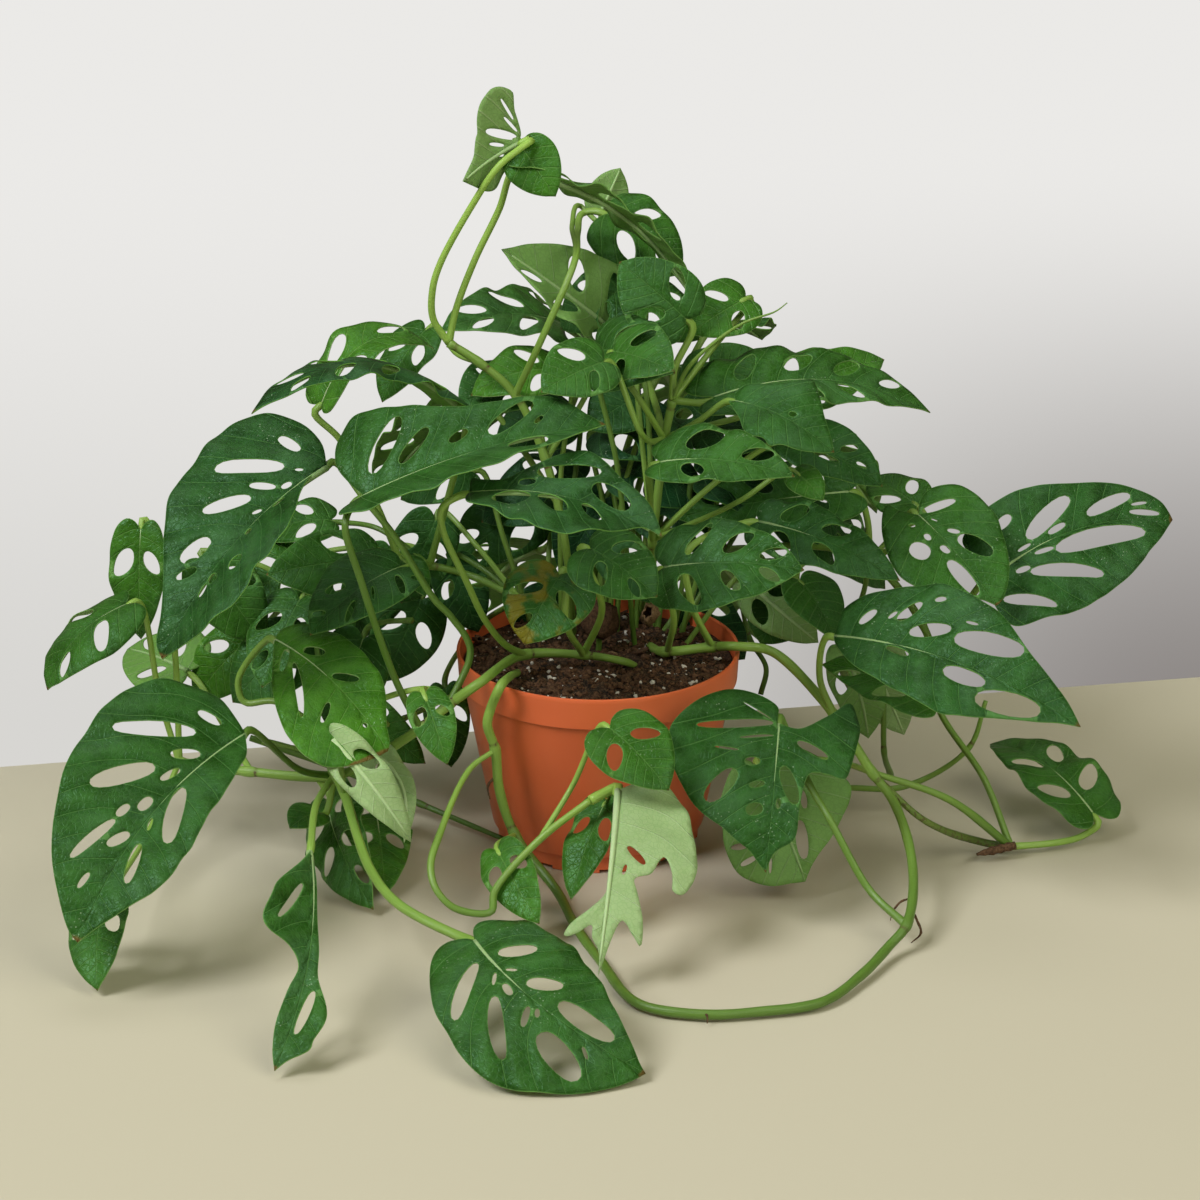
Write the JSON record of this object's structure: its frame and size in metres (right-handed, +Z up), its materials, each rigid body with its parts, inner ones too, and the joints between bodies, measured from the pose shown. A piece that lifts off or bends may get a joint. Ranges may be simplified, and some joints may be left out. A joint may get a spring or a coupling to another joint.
{
  "type": "monstera adansonii in a nursery pot",
  "caption": "Trailing Swiss cheese plant with perforated leaves on long leafy stems, in a plain round plastic nursery pot filled with potting mix.",
  "frame": {"origin": "on the table, under the middle of the whole plant; the middle of the pot's foot is 7.7 mm to the left of it and 56.4 mm behind it", "axes": "+Z up, +Y away from the front of the plant, +X to the right seen from the front"},
  "size_m": [0.6029, 0.5055, 0.4109],
  "materials": {
    "pot_plastic": "terracotta-coloured moulded plastic, satin",
    "potting_mix": "dark, moist bark and peat mix with white perlite",
    "stem_green": "smooth green stem, satin",
    "leaf_green": "leathery leaf, satin above and paler below"
  },
  "bodies": {
    "root": {"pot": "pot_plastic", "soil": "potting_mix", "vine_left": "stem_green", "vine_floor": "stem_green", "vine_top": "stem_green", "vine_middle": "stem_green", "vine_back_left": "stem_green", "vine_back_right": "stem_green", "vine_back": "stem_green", "leaf_01": "leaf_green", "leaf_02": "leaf_green", "leaf_03": "leaf_green", "leaf_04": "leaf_green", "leaf_05": "leaf_green", "leaf_06": "leaf_green", "leaf_07": "leaf_green", "leaf_08": "leaf_green", "leaf_09": "leaf_green", "leaf_10": "leaf_green", "leaf_11": "leaf_green", "leaf_12": "leaf_green", "leaf_13": "leaf_green", "leaf_14": "leaf_green", "leaf_15": "leaf_green", "leaf_16": "leaf_green", "leaf_17": "leaf_green", "leaf_18": "leaf_green", "leaf_19": "leaf_green", "leaf_20": "leaf_green", "leaf_21": "leaf_green", "leaf_22": "leaf_green", "leaf_23": "leaf_green", "leaf_24": "leaf_green", "leaf_25": "leaf_green", "leaf_26": "leaf_green", "leaf_27": "leaf_green", "leaf_28": "leaf_green", "leaf_29": "leaf_green", "leaf_30": "leaf_green", "leaf_31": "leaf_green", "leaf_32": "leaf_green", "leaf_33": "leaf_green", "leaf_34": "leaf_green", "leaf_35": "leaf_green", "leaf_36": "leaf_green", "leaf_37": "leaf_green", "leaf_38": "leaf_green", "leaf_39": "leaf_green", "leaf_40": "leaf_green", "leaf_41": "leaf_green", "leaf_42": "leaf_green", "leaf_43": "leaf_green", "leaf_44": "leaf_green", "leaf_45": "leaf_green", "leaf_46": "leaf_green", "leaf_47": "leaf_green", "leaf_48": "leaf_green", "leaf_49": "leaf_green", "leaf_50": "leaf_green"}
  },
  "joints": []
}
